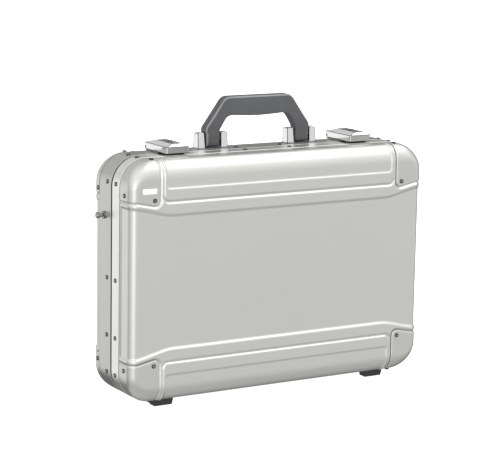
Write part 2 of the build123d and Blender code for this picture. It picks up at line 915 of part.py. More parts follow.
for sign, side in ((-1, "left"), (1, "right")):
    base_leaf, lid_leaf, hinge_pin = hinge_set(sign * hinge_x)
    save(f"hinge_leaf_base_{side}", base_leaf)
    save(f"hinge_leaf_lid_{side}", lid_leaf)
    save(f"hinge_pin_{side}", hinge_pin)
    save(f"stay_track_{side}", make_track(sign))
    save(f"stay_arm_{side}", make_stay_arm(sign))
    save(f"handle_bracket_{side}", make_handle_bracket(sign))
    save(f"latch_base_{side}", make_latch_base(sign * latch_x))
    save(f"latch_flap_{side}", make_flap(sign * latch_x))
    save(f"latch_button_{side}", make_button(sign * latch_x))
    save(f"latch_keeper_{side}", make_keeper(sign * latch_x))
    save(f"foot_lid_{side}", make_foot(sign, "lid"))
    save(f"foot_base_{side}", make_foot(sign, "base"))
    save(f"strap_stud_{side}", make_strap_stud(sign))

save("stay_studs", make_stay_stud(-1), make_stay_stud(1))
save("handle_grip", make_grip())
save("handle_pins", make_handle_pin(-1), make_handle_pin(1))
save("latch_pins", make_latch_pin(-latch_x), make_latch_pin(latch_x))
save("fixing_screws", *[make_screw(x, y) for x, y in screw_places()])

badge_back = -(panel_depth + cap_growth + 0.02)
badge = Pos(badge_x, badge_back - badge_size[2] / 2, middle_z + badge_height) * Box(
    badge_size[0], badge_size[2], badge_size[1]
)
save("badge_plate", fillet(badge.edges().filter_by(Axis.Y), 1.0))

os.makedirs("parts", exist_ok=True)
for name, shape in nodes.items():
    export_step(shape, f"parts/{name}.step")
print(len(nodes), "nodes written")
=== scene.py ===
import math

import bpy
import numpy as np
from mathutils import Matrix, Vector


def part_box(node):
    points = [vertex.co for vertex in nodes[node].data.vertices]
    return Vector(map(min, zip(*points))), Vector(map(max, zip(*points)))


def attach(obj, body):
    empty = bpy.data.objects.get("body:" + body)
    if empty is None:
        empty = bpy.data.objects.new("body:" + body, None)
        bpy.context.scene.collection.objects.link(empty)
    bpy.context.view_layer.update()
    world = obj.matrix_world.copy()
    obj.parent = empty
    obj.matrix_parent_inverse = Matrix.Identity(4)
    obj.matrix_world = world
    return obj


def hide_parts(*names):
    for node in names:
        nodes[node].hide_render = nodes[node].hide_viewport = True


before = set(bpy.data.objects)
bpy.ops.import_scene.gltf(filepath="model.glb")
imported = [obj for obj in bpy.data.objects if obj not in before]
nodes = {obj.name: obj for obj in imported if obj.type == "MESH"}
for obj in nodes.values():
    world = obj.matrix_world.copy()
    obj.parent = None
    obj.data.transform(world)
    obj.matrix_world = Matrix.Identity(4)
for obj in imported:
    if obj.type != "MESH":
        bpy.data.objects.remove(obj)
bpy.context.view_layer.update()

# Sizes below are in millimetres in the CAD's frame, and become metres in new_piece().
MM = 0.001
frame_low, frame_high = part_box("lid_frame")
MIDDLE_Z = (frame_low.z + frame_high.z) / 2 / MM

# The shell's plain form: its depth, its rim, and its round corners' centre and radius
DEPTH = 52.0
RIM_DEPTH = 4.1
CORNER_X, CORNER_Z, CORNER_R = 187.0, 121.0, 36.4

# Its rounded outer edge: how wide it is at the sides and at the top, and how deep at the top
SIDE_EDGE, TOP_EDGE = 10.0, 23.0
TOP_DROP, ROOM_UNDER_DROP = 18.0, 2.0
FACE_X = CORNER_X + CORNER_R - SIDE_EDGE
FACE_Z = CORNER_Z + CORNER_R - TOP_EDGE

# Pressed ribs: the inner edge climbs towards the sides by (height, start, run)
RIB_RISE, RIB_EDGE, RIB_INNER = 2.4, 4.4, 87.2
RIB_CLIMBS = ((10.6, 160, 62), (0.5, 205, 15))
RIB_SIDE_FADE = 0.45
GROOVE_X, GROOVE_Z, GROOVE_R = 177.4, 104.8, 8.0
GROOVE_HALF, GROOVE_DEPTH = 3.1, 1.9
GROOVE_FADE, GROOVE_FADE_START, GROOVE_FADE_RUN = 0.4, 2, 8
PANEL_X, PANEL_Z, PANEL_R = 174.6, 120.2, 6.0
SHOULDER_DROP, SHOULDER_RUN = 1.35, 3.4

# Corner caps: their outline, whose lower edge climbs, and how far they stand off the shell
CAP_X, CAP_Z, CAP_R = 181.5, 100.3, 7.0
CAP_SLOPE, CAP_SLOPE_START, CAP_SLOPE_RUN = 5.2, 190, 25
CAP_GROWTH, CAP_EDGE_DROP, CAP_EDGE_RUN = 1.4, 0.8, 2.0
CAP_GAP, CAP_FADE = 0.3, 3.2

# The shell's flat border beside the frames, and the gap that is left there
BORDER_RISE, BORDER_END, BORDER_RUN = 1.2, 2.4, 3.6
FRAME_GAP, GAP_EDGE = 1.3, 0.6

# Depth at which each frame ends, measured from the seam
NARROW_END, WIDE_END = 21.5, 34.0

SHELL_THICKNESS = 1.3
CAP_THICKNESS, CAP_BEVEL = 0.9, 0.25


def smooth(t):
    """0 up to t = 0, 1 from t = 1, and a smooth rise between."""
    t = np.clip(t, 0.0, 1.0)
    return t * t * (3 - 2 * t)


# ---- Materials ----
# Depth of the finest relief in metal and cloth, and in moulded plastic, in metres
GRAIN_DEPTH, TEXTURE_DEPTH = 0.0004, 0.0003
# How far a rounded normal agrees with its face, from deepest in a crease to clear of it: the
# range over which creases get painted shade
CREASE_SHADE_RANGE = (0.989, 0.9995)
# How open a surface is, from the darkest of a nook to clear of it, and the tone of the painted
# shade at the darkest
NOOK_SHADE_RANGE, NOOK_SHADE_TONE = (0.30, 0.66), 0.16
# Roughness under the darkest grain, and how much the grain adds to it
GLOSS_BASE, GLOSS_GRAIN = 0.87, 0.25


def new_material(name):
    """A material, its node tree and its shader."""
    material = bpy.data.materials.new(name)
    material.use_nodes = True
    tree = material.node_tree
    return material, tree, tree.nodes["Principled BSDF"]


def node(tree, kind, links=None, **inputs):
    """A shader node whose inputs are values, or outputs of other nodes."""
    made = tree.nodes.new(kind)
    for key, value in inputs.items():
        made.inputs[key.replace("_", " ")].default_value = value
    for key, source in (links or {}).items():
        tree.links.new(source, made.inputs[key])
    return made


def stretched_noise(tree, scale, detail=3.0, roughness=0.6):
    """Noise in the object's own coordinates, stretched by a scale per axis (per metre)."""
    place = node(tree, "ShaderNodeTexCoord")
    mapping = node(tree, "ShaderNodeMapping", {"Vector": place.outputs["Object"]})
    mapping.inputs["Scale"].default_value = scale
    return node(
        tree,
        "ShaderNodeTexNoise",
        {"Vector": mapping.outputs["Vector"]},
        Scale=1.0,
        Detail=detail,
        Roughness=roughness,
    )


def ramp(tree, source, stops):
    """A colour ramp over (position, colour) stops."""
    made = node(tree, "ShaderNodeValToRGB", {"Fac": source})
    elements = made.color_ramp.elements
    while len(elements) < len(stops):
        elements.new(0.5)
    for element, (position, colour) in zip(elements, stops):
        element.position = position
        element.color = (*colour, 1.0)
    return made


def grey(tone, tint=(1.0, 1.0, 1.0)):
    """A colour of that tone, tinted."""
    return tuple(tone * t for t in tint)


def shade_by(tree, colour, source, stops):
    """The colour, multiplied by a ramp over the source, whose stops are (position, tone)."""
    shade = ramp(tree, source, [(position, grey(tone)) for position, tone in stops])
    made = node(
        tree,
        "ShaderNodeMixRGB",
        {"Color1": colour, "Color2": shade.outputs["Color"]},
        Fac=1.0,
    )
    made.blend_type = "MULTIPLY"
    return made.outputs["Color"]


def edge_nearness(tree, radius):
    """A rounded normal, and how far it agrees with the surface: below 1 beside an edge."""
    worn = node(tree, "ShaderNodeBevel", Radius=radius * MM)
    worn.samples = 8
    flat = node(tree, "ShaderNodeNewGeometry")
    agree = node(
        tree,
        "ShaderNodeVectorMath",
        {0: worn.outputs["Normal"], 1: flat.outputs["True Normal"]},
    )
    agree.operation = "DOT_PRODUCT"
    return worn.outputs["Normal"], agree.outputs["Value"]


def metal(
    name,
    tone,
    tint,
    roughness,
    grain,
    spread=0.03,
    bump=0.02,
    smudge=0.05,
    edge=0.0,
    crease=1.0,
    nook_shade=0.0,
    metallic=1.0,
):
    """Finished metal: streaks of grain in its tone and gloss, and broad faint smudges.

    Painted shade may darken its creases, edge millimetres wide, and its nooks, to a given depth
    in millimetres."""
    material, tree, bsdf = new_material(name)
    streaks = stretched_noise(tree, grain, detail=4.0)
    broad = stretched_noise(tree, (9.0, 9.0, 9.0), detail=2.0)
    tone_ramp = ramp(
        tree,
        streaks.outputs["Fac"],
        [(0.3, grey(tone * (1 - spread), tint)), (0.7, grey(tone * (1 + spread), tint))],
    )
    gloss = node(tree, "ShaderNodeMath", {0: streaks.outputs["Fac"]})
    gloss.operation = "MULTIPLY_ADD"
    gloss.inputs[1].default_value = roughness * GLOSS_GRAIN
    gloss.inputs[2].default_value = roughness * GLOSS_BASE
    haze = node(
        tree, "ShaderNodeMath", {0: broad.outputs["Fac"], 2: gloss.outputs["Value"]}
    )
    haze.operation = "MULTIPLY_ADD"
    haze.inputs[1].default_value = smudge
    relief = node(
        tree, "ShaderNodeBump", {"Height": streaks.outputs["Fac"]}, Strength=bump
    )
    relief.inputs["Distance"].default_value = GRAIN_DEPTH
    colour = tone_ramp.outputs["Color"]
    # Painted shade: creases darken where the rounded normal turns away from the face.
    if edge:
        rounded, nearness = edge_nearness(tree, edge)
        tree.links.new(rounded, relief.inputs["Normal"])
        colour = shade_by(tree, colour, nearness, zip(CREASE_SHADE_RANGE, (crease, 1.0)))
    # Painted shade: nooks darken by how closed in they are.
    if nook_shade:
        openness = node(tree, "ShaderNodeAmbientOcclusion", Distance=nook_shade * MM)
        openness.samples = 8
        shades = zip(NOOK_SHADE_RANGE, (NOOK_SHADE_TONE, 1.0))
        colour = shade_by(tree, colour, openness.outputs["AO"], shades)
    tree.links.new(colour, bsdf.inputs["Base Color"])
    tree.links.new(haze.outputs["Value"], bsdf.inputs["Roughness"])
    tree.links.new(relief.outputs["Normal"], bsdf.inputs["Normal"])
    bsdf.inputs["Metallic"].default_value = metallic
    return material


def moulded(name, tone, tint, roughness, texture_scale, bump, spread=0.08):
    """Moulded plastic or rubber with a fine spark-eroded texture and slight mottling."""
    material, tree, bsdf = new_material(name)
    fine = stretched_noise(tree, (texture_scale,) * 3, detail=5.0)
    broad = stretched_noise(tree, (35.0, 35.0, 35.0), detail=2.0)
    tone_ramp = ramp(
        tree,
        broad.outputs["Fac"],
        [(0.3, grey(tone * (1 - spread), tint)), (0.7, grey(tone * (1 + spread), tint))],
    )
    gloss = ramp(
        tree,
        fine.outputs["Fac"],
        [(0.25, grey(roughness * 0.85)), (0.75, grey(min(1.0, roughness * 1.15)))],
    )
    relief = node(tree, "ShaderNodeBump", {"Height": fine.outputs["Fac"]}, Strength=bump)
    relief.inputs["Distance"].default_value = TEXTURE_DEPTH
    tree.links.new(tone_ramp.outputs["Color"], bsdf.inputs["Base Color"])
    tree.links.new(gloss.outputs["Color"], bsdf.inputs["Roughness"])
    tree.links.new(relief.outputs["Normal"], bsdf.inputs["Normal"])
    return material


def woven(name, tone, tint):
    """Dark lining cloth: two crossed sets of threads, with a soft sheen."""
    material, tree, bsdf = new_material(name)
    place = node(tree, "ShaderNodeTexCoord")
    waves = []
    for direction in ("X", "Z"):
        wave = node(
            tree, "ShaderNodeTexWave", {"Vector": place.outputs["Object"]}, Scale=260.0
        )
        wave.bands_direction = direction
        wave.inputs["Distortion"].default_value = 0.6
        waves.append(wave)
    weave = node(
        tree, "ShaderNodeMath", {0: waves[0].outputs["Fac"], 1: waves[1].outputs["Fac"]}
    )
    weave.operation = "MULTIPLY"
    tone_ramp = ramp(
        tree,
        weave.outputs["Value"],
        [(0.0, grey(tone * 0.55, tint)), (1.0, grey(tone * 1.3, tint))],
    )
    relief = node(
        tree, "ShaderNodeBump", {"Height": weave.outputs["Value"]}, Strength=0.4
    )
    relief.inputs["Distance"].default_value = GRAIN_DEPTH
    tree.links.new(tone_ramp.outputs["Color"], bsdf.inputs["Base Color"])
    tree.links.new(relief.outputs["Normal"], bsdf.inputs["Normal"])
    bsdf.inputs["Roughness"].default_value = 0.85
    bsdf.inputs["Sheen Weight"].default_value = 0.25
    return material


ALUMINIUM_TINT = (0.99, 1.0, 0.945)
NEUTRAL = (1.0, 1.0, 1.0)
materials = {
    # The shell, caps and frames get painted shade in their nooks, such as the gaps between frame
    # and shell.
    "aluminium_shell": metal(
        "shell_brushed",
        0.82,
        ALUMINIUM_TINT,
        0.37,
        (25.0, 1400.0, 1400.0),
        spread=0.018,
        bump=0.012,
        nook_shade=2.5,
    ),
    "aluminium_cap": metal(
        "cap_brushed",
        0.77,
        ALUMINIUM_TINT,
        0.37,
        (90.0, 900.0, 900.0),
        spread=0.015,
        bump=0.012,
        nook_shade=2.5,
    ),
    "aluminium_frame": metal(
        "frame_brushed", 0.66, ALUMINIUM_TINT, 0.33, (16.0, 900.0, 16.0), nook_shade=2.5
    ),
    # Painted light: the lid's frame is a much lighter copy of the frame aluminium, so that it
    # reads brighter than the base's frame.
    "lid_frame": metal(
        "lid_frame_brushed_painted_light",
        0.97,
        ALUMINIUM_TINT,
        0.33,
        (16.0, 900.0, 16.0),
        spread=0.02,
        nook_shade=2.5,
    ),
    # Rivet heads: painted shade darkens their rims, where the rounded normal turns, and the nooks
    # round them.
    "rivet_steel": metal(
        "rivet_bright", 0.46, NEUTRAL, 0.08, (300.0,) * 3, edge=2.2, crease=0.06, nook_shade=2.0
    ),
    # Chrome: painted shade darkens its creases into dark lines, and its nooks.
    "chrome": metal(
        "chrome_polished",
        0.88,
        NEUTRAL,
        0.07,
        (120.0,) * 3,
        spread=0.01,
        bump=0.004,
        smudge=0.03,
        edge=1.5,
        crease=0.03,
        nook_shade=3.0,
    ),
    # Painted shade: the keepers are near-black, standing for the dark gap under the latch flaps.
    "black_steel": metal("keeper_painted_shade", 0.06, (1.0, 1.0, 1.05), 0.45, (200.0,) * 3),
    # Nickel stud: painted shade darkens its creases.
    "nickel": metal(
        "stud_nickel", 0.45, (1.0, 0.95, 0.86), 0.12, (260.0,) * 3, edge=1.2, crease=0.1
    ),
    "steel": metal("stay_steel", 0.55, NEUTRAL, 0.30, (500.0, 500.0, 40.0)),
    "badge_metal": metal(
        "badge_satin", 0.92, NEUTRAL, 0.30, (30.0, 900.0, 900.0), metallic=0.3
    ),
    "grey_plastic": moulded("handle_grey", 0.085, (0.98, 1.0, 1.07), 0.36, 1500.0, 0.25),
    # A lighter copy of the handle plastic: a painted highlight along the grip's outer chamfers.
    "painted_highlight_plastic": moulded("handle_edge_painted_highlight", 0.27, (0.98, 1.0, 1.05), 0.36, 1500.0, 0.25),
    "black_rubber": moulded("foot_rubber", 0.019, (0.95, 0.97, 1.1), 0.60, 1100.0, 0.35),
    "lining": woven("lining_cloth", 0.045, (1.0, 1.0, 1.05)),
}


def material_for(name):
    """The finish of a CAD node, by the first rule whose words are in its name."""
    rules = (
        ("frame_rivets", "rivet_steel"),
        ("cap_rivets", "rivet_steel"),
        ("lid_frame", "lid_frame"),
        ("_frame", "aluminium_frame"),
        ("gasket", "black_rubber"),
        ("liner", "lining"),
        ("hinge", "steel"),
        ("stay", "steel"),
        ("screws", "steel"),
        ("pins", "steel"),
        ("strap_stud", "nickel"),
        ("foot", "black_rubber"),
        ("badge", "badge_metal"),
        ("handle_grip", "grey_plastic"),
        # The keepers take the near-black finish, as painted shade under the flaps.
        ("keeper", "black_steel"),
        ("latch", "chrome"),
        ("bracket", "chrome"),
    )
    for part, finish in rules:
        if part in name:
            return materials[finish]
    return materials["aluminium_shell"]


for name, piece in nodes.items():
    piece.data.materials.clear()
    piece.data.materials.append(material_for(name))


# ---- New pieces ----
def new_piece(name, points, faces, finish, body, stands_for):
    """A smooth mesh piece from points in millimetres, riding on a body."""
    mesh = bpy.data.meshes.new(name)
    mesh.from_pydata((np.asarray(points) * MM).tolist(), [], faces)
    mesh.update()
    mesh.shade_smooth()
    piece = bpy.data.objects.new(name, mesh)
    bpy.context.scene.collection.objects.link(piece)
    mesh.materials.append(materials[finish])
    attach(piece, body)
    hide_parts(*stands_for)
    return piece


def thicken(piece, thickness, bevel):
    """Gives a sheet its thickness, inwards, and softens its cut edges."""
    solid = piece.modifiers.new("sheet", "SOLIDIFY")
    solid.thickness = thickness * MM
    solid.offset = -1.0
    if bevel:
        edge = piece.modifiers.new("edge", "BEVEL")
        edge.width = bevel * MM
        edge.segments = 2
        edge.limit_method = "ANGLE"
        edge.angle_limit = math.radians(60)


def grid_faces(columns, rows, flip):
    """Quads over a grid of points stored column by column."""
    faces = []
    for i in range(columns - 1):
        for j in range(rows - 1):
            a, b = i * rows + j, (i + 1) * rows + j
            quad = (a, b, b + 1, a + 1)
            faces.append(quad[::-1] if flip else quad)
    return faces


def steps(*runs):
    """Positions along an axis: runs of (start, end, count), each ending where the next starts."""
    found = []
    for start, end, count in runs:
        found += list(np.linspace(start, end, count, endpoint=False))
    return np.array(found + [runs[-1][1]])


# ---- The shell's form ----
def edge_radius(turn):
    """The outer edge's inset at a place whose outline faces turn radians above sideways."""
    return SIDE_EDGE + (TOP_EDGE - SIDE_EDGE) * smooth(turn / (math.pi / 2))


def disc(a, b):
    """A unit square's point, moved into the quarter disc it is mapped to."""
    return a * np.sqrt(1 - b * b / 2), b * np.sqrt(1 - a * a / 2)


def plan_point(gx, gz):
    """A flat face point from its grid place, and the angle at which it sits in its corner."""
    ax, az = np.abs(gx), np.abs(gz)
    a = np.clip((ax - CORNER_X) / (CORNER_R - SIDE_EDGE), 0, 1)
    b = np.clip((az - CORNER_Z) / (CORNER_R - TOP_EDGE), 0, 1)
    u, v = disc(a, b)
    turn = np.arctan2(v, u)
    reach = CORNER_R - edge_radius(turn)
    x = np.where(a > 0, CORNER_X + u * reach, ax)
    z = np.where(b > 0, CORNER_Z + v * reach, az)
    return np.where(gx < 0, -x, x), np.where(gz < 0, -z, z), turn


def edge_drop(turn, frame_end):
    """How deep the rounded outer edge is at such a place, within the room the frame leaves."""
    top = min(TOP_DROP, DEPTH - frame_end - ROOM_UNDER_DROP)
    return SIDE_EDGE + (top - SIDE_EDGE) * smooth(turn / (math.pi / 2))


def section(x, z, turn, drop, depths):
    """Points and outward normals beyond the face point x, z: round the edge, whose depth is
    drop, and then down the wall at the given depths."""
    side = np.array([math.cos(turn) * np.sign(x), math.sin(turn) * np.sign(z)])
    inset = edge_radius(turn)
    points, normals = [], []
    for angle in np.radians(np.linspace(0, 90, 17))[1:]:
        out = inset * math.sin(angle)
        depth = DEPTH - drop * (1 - math.cos(angle))
        points.append((x + side[0] * out, z + side[1] * out, depth))
        lean = np.array([math.sin(angle) / inset, math.cos(angle) / drop])
        lean /= np.hypot(*lean)
        normals.append((side[0] * lean[0], side[1] * lean[0], lean[1]))
    for depth in depths:
        points.append((x + side[0] * inset, z + side[1] * inset, depth))
        normals.append((side[0], side[1], 0.0))
    return points, normals


def outline_turns(around, gx, gz, turn):
    """The way that each border place faces: 0 along the sides, a right angle along the ends."""
    columns, rows = len(gx), len(gz)
    found = []
    for i, j in around:
        if i in (0, columns - 1) and abs(gz[j]) <= CORNER_Z:
            found.append(0.0)
        elif j in (0, rows - 1) and abs(gx[i]) <= CORNER_X:
            found.append(math.pi / 2)
        else:
            found.append(turn[i, j])
    return found


def add_walls(points, normals, x, z, around, turns, frame_end, wall_depths):
    """Adds a section's points at each border place, and returns the point numbers of each."""
    rows = x.shape[1]
    rings = []
    for (i, j), turn in zip(around, turns):
        drop = edge_drop(turn, frame_end)
        depths = wall_depths(DEPTH - drop, frame_end)
        ring_points, ring_normals = section(x[i, j], z[i, j], turn, drop, depths)
        first = len(points)
        points += ring_points
        normals += ring_normals
        rings.append([i * rows + j] + list(range(first, len(points))))
    return rings


def ring_faces(rings, others, flip):
    """Quads between each ring of points and the one beside it."""
    faces = []
    for ring, other in zip(rings, others):
        for k in range(len(ring) - 1):
            quad = (ring[k], ring[k + 1], other[k + 1], other[k])
            faces.append(quad[::-1] if flip else quad)
    return faces


def cap_low(ax):
    """The cap's lower edge, which climbs towards the side."""
    return CAP_Z + CAP_SLOPE * np.clip((ax - CAP_SLOPE_START) / CAP_SLOPE_RUN, 0, 1)


def outside_corner(ax, az, edge_x, edge_z, radius):
    """Distance outside a region inside edge_x and above edge_z, whose corner is round."""
    qx = ax - edge_x + radius
    qz = edge_z + radius - az
    corner = np.hypot(np.maximum(qx, 0), np.maximum(qz, 0))
    return np.where((qx > 0) & (qz > 0), corner, np.maximum(qx, qz)) - radius


def outside_cap(ax, az):
    """Distance outside the cap's outline, negative inside it."""
    return outside_corner(-ax, az, -CAP_X, cap_low(ax), CAP_R)


def clear_of_cap(ax, az):
    """0 under a cap, rising to 1 a little way outside it."""
    return smooth((outside_cap(ax, az) - CAP_GAP) / CAP_FADE)


def rib_height(ax, az):
    """How far the pressed ribs stand above the plain form.

    A groove runs under the upper rib and turns up beside the cap, round a sunken panel."""
    inner = RIB_INNER
    for climb, start, run in RIB_CLIMBS:
        inner = inner + climb * smooth((ax - start) / run)
    height = RIB_RISE * smooth((az - (inner - RIB_EDGE / 2)) / RIB_EDGE)
    middle = np.abs(outside_corner(ax, az, GROOVE_X, GROOVE_Z, GROOVE_R))
    fade = smooth((az - GROOVE_Z - GROOVE_FADE_START) / GROOVE_FADE_RUN)
    depth = GROOVE_DEPTH * (1 - GROOVE_FADE * fade)
    height = height - depth * smooth(1 - middle / GROOVE_HALF)
    panel = outside_corner(ax, az, PANEL_X, PANEL_Z, PANEL_R)
    height = height - SHOULDER_DROP * smooth(-panel / SHOULDER_RUN)
    return height * clear_of_cap(ax, az)


# The shell wall's points above the frame's end, close together where its border steps
WALL_STEPS = (6.5, 5.7, 4.9, 4.1, 3.3, 2.5, 1.6, 1.2, 0.8)


def shell_depths(wall_top, frame_end):
    """Depths down the shell's wall, from below its rounded edge to its rim."""
    first = frame_end + WALL_STEPS[0]
    depths = [wall_top + (first - wall_top) * t for t in (0.33, 0.67)]
    depths += [frame_end + step for step in WALL_STEPS]
    depths += [frame_end - 1.0, RIM_DEPTH]
    return [min(depth, wall_top - 0.05 * k) for k, depth in enumerate(depths, 1)]


def cap_depths(wall_top, frame_end):
    """Depths down the cap's wall, from below its rounded edge to the frame."""
    return np.linspace(wall_top, frame_end + FRAME_GAP, 8)[1:]


def formed_sheet(name, points, faces, front, sign_x, sign_z, finish):
    """A piece from points in (across, up, depth), mirrored into place on the lid or base.

    front is -1 for the lid, whose face looks along -Y, and 1 for the base."""
    placed = np.stack(
        [sign_x * points[:, 0], front * points[:, 2], sign_z * points[:, 1] + MIDDLE_Z], axis=1
    )
    body = "lid" if front < 0 else "base"
    stands_for = name.removesuffix("_skin")
    return new_piece(name, placed, faces, finish, body, [stands_for])


def make_shell(name, front, frame_end):
    """A pressed half shell with its ribs, whose grid is finest where the ribs bend."""
    right = steps((0, 150, 15), (150, CORNER_X, 46), (CORNER_X, FACE_X, 16))
    upper = steps((0, 80, 10), (80, 124, 62), (124, FACE_Z, 10))
    gx = np.concatenate([-right[:0:-1], right])
    gz = np.concatenate([-upper[:0:-1], upper])
    columns, rows = len(gx), len(gz)
    grid_x, grid_z = np.meshgrid(gx, gz, indexing="ij")
    x, z, turn = plan_point(grid_x, grid_z)
    points = [(px, pz, DEPTH) for px, pz in zip(x.ravel(), z.ravel())]
    normals = [(0.0, 0.0, 1.0)] * len(points)
    faces = grid_faces(columns, rows, front > 0)

    around = [(i, 0) for i in range(columns)]
    around += [(columns - 1, j) for j in range(1, rows)]
    around += [(i, rows - 1) for i in range(columns - 2, -1, -1)]
    around += [(0, j) for j in range(rows - 2, 0, -1)]
    turns = outline_turns(around, gx, gz, turn)
    rings = add_walls(points, normals, x, z, around, turns, frame_end, shell_depths)
    faces += ring_faces(rings, rings[1:] + rings[:1], front > 0)

    p, n = np.array(points), np.array(normals)
    ax, az = np.abs(p[:, 0]), np.abs(p[:, 1])
    rise = rib_height(ax, az) * (1 - RIB_SIDE_FADE * np.abs(n[:, 0]))
    past_frame = p[:, 2] - frame_end
    ribbed = smooth((past_frame - BORDER_END) / BORDER_RUN)
    rise = rise * ribbed + BORDER_RISE * clear_of_cap(ax, az) * (1 - ribbed)
    rise *= smooth((past_frame - FRAME_GAP + GAP_EDGE / 2) / GAP_EDGE)
    p = p + n * rise[:, None]
    piece = formed_sheet(name, p, faces, front, 1, 1, "aluminium_shell")
    thicken(piece, SHELL_THICKNESS, 0)


def make_cap(name, front, sign_x, sign_z, frame_end):
    """A thin corner cap that follows the shell's form, from the frame's edge outwards."""
    gx = steps((CAP_X, CAP_X + CAP_R, 14), (CAP_X + CAP_R, FACE_X, 30))
    gz = steps((CAP_Z, CAP_Z + CAP_R, 14), (CAP_Z + CAP_R, CORNER_Z, 12), (CORNER_Z, FACE_Z, 16))
    columns, rows = len(gx), len(gz)
    grid_x, grid_z = np.meshgrid(gx, gz, indexing="ij")
    low = cap_low(grid_x)
    lifted = low + (grid_z - CAP_Z) * (CORNER_Z - low) / (CORNER_Z - CAP_Z)
    grid_z = np.where(grid_z < CORNER_Z, lifted, grid_z)
    x, z, turn = plan_point(grid_x, grid_z)
    bend_z = low + CAP_R
    a = np.clip((CAP_X + CAP_R - grid_x) / CAP_R, 0, 1)
    b = np.clip((bend_z - grid_z) / CAP_R, 0, 1)
    u, v = disc(a, b)
    in_bend = (a > 0) & (b > 0)
    x = np.where(in_bend, CAP_X + CAP_R - CAP_R * u, x)
    z = np.where(in_bend, bend_z - CAP_R * v, z)
    points = [(px, pz, DEPTH) for px, pz in zip(x.ravel(), z.ravel())]
    normals = [(0.0, 0.0, 1.0)] * len(points)
    flip = (front * sign_x * sign_z) > 0
    faces = grid_faces(columns, rows, flip)

    around = [(columns - 1, j) for j in range(rows)]
    around += [(i, rows - 1) for i in range(columns - 2, -1, -1)]
    turns = outline_turns(around, gx, gz, turn)
    rings = add_walls(points, normals, x, z, around, turns, frame_end, cap_depths)
    faces += ring_faces(rings, rings[1:], flip)

    p, n = np.array(points), np.array(normals)
    inside = -outside_cap(p[:, 0], p[:, 1])
    rise = CAP_GROWTH - CAP_EDGE_DROP * (1 - smooth(inside / CAP_EDGE_RUN))
    p = p + n * rise[:, None]
    piece = formed_sheet(name, p, faces, front, sign_x, sign_z, "aluminium_cap")
    thicken(piece, CAP_THICKNESS, CAP_BEVEL)


for half, front, frame_end in (("lid", -1, NARROW_END), ("base", 1, WIDE_END)):
    make_shell(f"{half}_shell_skin", front, frame_end)
    for level, sign_z in (("top", 1), ("bottom", -1)):
        for side, sign_x in (("left", -1), ("right", 1)):
            make_cap(f"{half}_cap_{level}_{side}_skin", front, sign_x, sign_z, frame_end)


# ---- Handle ----
# The grip's foot is round about its pivot, and its legs are wider above the brackets' posts.
PIVOT_ABOVE_FOOT, FOOT_R = 10.9, 11.2
LEG_WIDTH, LEG_SWELL = 20.4, 1.4
SWELL_START, SWELL_END = 7.5, 9.5
# Above the shoulder the legs lean in to the bar, whose underside bellies down in its middle.
SHOULDER_BELOW_TOP = 41
INNER_SHOULDER_X, INNER_SHOULDER_Z = 0.8, 2
BAR_OUTER_X, BAR_INNER_X = 50.5, 46.5
BAR_DEPTH_END, BAR_DEPTH_MIDDLE = 24.5, 25.5
BELLY_HALF, BELLY_DEPTH, BELLY_ABOVE_SHOULDER = 47.5, 1.6, 10
OUTER_BENDS, INNER_BENDS, BEND_POINTS = (1, 1, 3, 7), (1, 1, 1.4, 9), 6
GRIP_CHAMFER, CHAMFER_R = 2.3, 0.9
# The strips of its section that make up its two outer chamfers, which carry a painted highlight
OUTER_EDGE_STRIPS = (2, 3, 4, 26, 27, 28)


def bend(before, here, after, radius, places):
    """Points round the corner at here, at places from 0, radius before it, to 1, radius after."""
    start = here + (before - here) / np.linalg.norm(before - here) * radius
    end = here + (after - here) / np.linalg.norm(after - here) * radius
    return [(1 - t) ** 2 * start + 2 * t * (1 - t) * here + t * t * end for t in places]


def rounded_line(points, radii, count):
    """Points along a polyline whose corners are rounded, count for each run and corner."""
    line = [np.array(p, float) for p in points]
    places = np.linspace(0, 1, count + 1)
    found = [line[0]]
    for before, here, after, radius in zip(line, line[1:], line[2:], radii):
        corner = bend(before, here, after, radius, places)
        last = found[-1]
        found += [last + (corner[0] - last) * t for t in places[1:]]
        found += corner[1:]
    last = found[-1]
    found += [last + (line[-1] - last) * t for t in places[1:]]
    return np.array(found)


def chamfered_section(half_u, half_v, chamfer):
    """Points round a chamfered rectangle whose eight corners are slightly rounded."""
    corners = []
    for su, sv in ((1, 1), (-1, 1), (-1, -1), (1, -1)):
        pair = [
            np.array((su * half_u, sv * (half_v - chamfer))),
            np.array((su * (half_u - chamfer), sv * half_v)),
        ]
        corners += pair if su * sv > 0 else pair[::-1]
    found = []
    for index, here in enumerate(corners):
        before, after = corners[index - 1], corners[(index + 1) % len(corners)]
        found += bend(before, here, after, CHAMFER_R, (0.0, 0.33, 0.67, 1.0))
    return found


